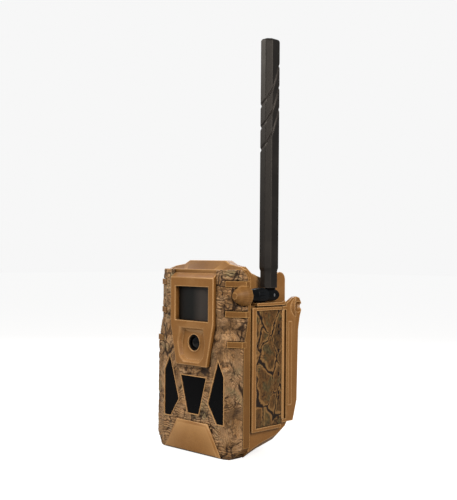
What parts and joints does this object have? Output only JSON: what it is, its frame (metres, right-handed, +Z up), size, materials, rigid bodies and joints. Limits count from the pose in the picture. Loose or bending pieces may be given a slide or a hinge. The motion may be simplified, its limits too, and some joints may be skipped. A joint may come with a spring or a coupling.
{
  "type": "trail camera",
  "caption": "Weatherproof trail camera: hinged front with motion lens and infrared windows, side latch, folding antenna and a strap bracket behind.",
  "frame": {"origin": "middle of the bracket's rear face, which lies on the tree", "axes": "+X towards the latch side, +Y from the front into the tree, +Z up along the antenna"},
  "size_m": [0.1035, 0.075, 0.3185],
  "materials": {
    "brown_plastic": "moulded, satin",
    "bark_plastic": "moulded bark relief, printed camouflage, matt",
    "camo_print": "printed camouflage, satin",
    "black_plastic": "moulded, satin",
    "window_plastic": "infrared filter, glossy black",
    "pir_film": "moulded fresnel film, satin dark",
    "lens_glass": "coated glass",
    "steel": "plated",
    "brass": "turned",
    "rubber": "matt",
    "circuit_board": "green solder mask",
    "cell_wrap": "plain printed wrap",
    "red_plastic": "moulded"
  },
  "bodies": {
    "case": {"rear_housing": "brown_plastic", "lock_wing": "brown_plastic", "antenna_rest": "brown_plastic", "tree_bracket": "black_plastic", "tripod_insert": "brass", "gasket": "rubber", "battery_tray": "black_plastic", "hinge_pin": "steel", "latch_pin": "steel", "contact_low": "steel", "contact_middle": "steel", "contact_high": "steel", "bracket_screw_low": "steel", "bracket_screw_high": "steel", "battery_1": "cell_wrap", "battery_2": "cell_wrap", "battery_3": "cell_wrap", "battery_4": "cell_wrap", "battery_5": "cell_wrap", "battery_6": "cell_wrap", "battery_7": "cell_wrap", "battery_8": "cell_wrap"},
    "front": {"front_shell": "brown_plastic", "bezel": "brown_plastic", "chin_plate": "brown_plastic", "bark_cover": "bark_plastic", "inner_panel": "black_plastic", "lens_barrel": "black_plastic", "image_sensor": "black_plastic", "memory_card": "black_plastic", "ir_window_left": "window_plastic", "ir_window_middle": "window_plastic", "ir_window_right": "window_plastic", "display": "window_plastic", "pir_lens": "pir_film", "camera_lens": "lens_glass", "pir_sensor": "steel", "panel_screw_1": "steel", "panel_screw_2": "steel", "panel_screw_3": "steel", "panel_screw_4": "steel", "antenna_connector": "brass", "led_board": "circuit_board", "main_board": "circuit_board"},
    "antenna_base": {"antenna_knuckle": "black_plastic", "tilt_pin": "steel"},
    "antenna_arm": {"antenna_blade": "black_plastic"},
    "side_latch": {"latch_frame": "brown_plastic", "latch_panel": "camo_print", "latch_peg": "brown_plastic"},
    "switch_slide": {"power_switch": "red_plastic"},
    "key_ok": {"button_ok": "black_plastic"},
    "key_up": {"button_up": "black_plastic"},
    "key_down": {"button_down": "black_plastic"},
    "key_left": {"button_left": "black_plastic"},
    "key_right": {"button_right": "black_plastic"}
  },
  "joints": [
    {"name": "front_swing", "type": "hinge", "parent": "case", "child": "front", "pos_m": [-0.0494, -0.0577, -0.014], "axis": [0, 0, -1], "range_deg": [0, 110]},
    {"name": "latch_swing", "type": "hinge", "parent": "case", "child": "side_latch", "pos_m": [0.0467, -0.0211, -0.018], "axis": [0, 0, 1], "range_deg": [0, 100]},
    {"name": "antenna_turn", "type": "hinge", "parent": "front", "child": "antenna_base", "pos_m": [0.044, -0.045, 0.038], "axis": [0, 1, 0], "range_deg": [0, 90]},
    {"name": "antenna_tilt", "type": "hinge", "parent": "antenna_base", "child": "antenna_arm", "pos_m": [0.044, -0.033, 0.038], "axis": [-1, 0, 0], "range_deg": [0, 60]},
    {"name": "switch_travel", "type": "slide", "parent": "front", "child": "switch_slide", "axis": [0, 0, 1], "range_m": [0, 0.006]},
    {"name": "press_ok", "type": "slide", "parent": "front", "child": "key_ok", "axis": [0, -1, 0], "range_m": [0, 0.0006], "stiffness_N_per_m": 800},
    {"name": "press_up", "type": "slide", "parent": "front", "child": "key_up", "axis": [0, -1, 0], "range_m": [0, 0.0006], "stiffness_N_per_m": 800},
    {"name": "press_down", "type": "slide", "parent": "front", "child": "key_down", "axis": [0, -1, 0], "range_m": [0, 0.0006], "stiffness_N_per_m": 800},
    {"name": "press_left", "type": "slide", "parent": "front", "child": "key_left", "axis": [0, -1, 0], "range_m": [0, 0.0006], "stiffness_N_per_m": 800},
    {"name": "press_right", "type": "slide", "parent": "front", "child": "key_right", "axis": [0, -1, 0], "range_m": [0, 0.0006], "stiffness_N_per_m": 800}
  ]
}
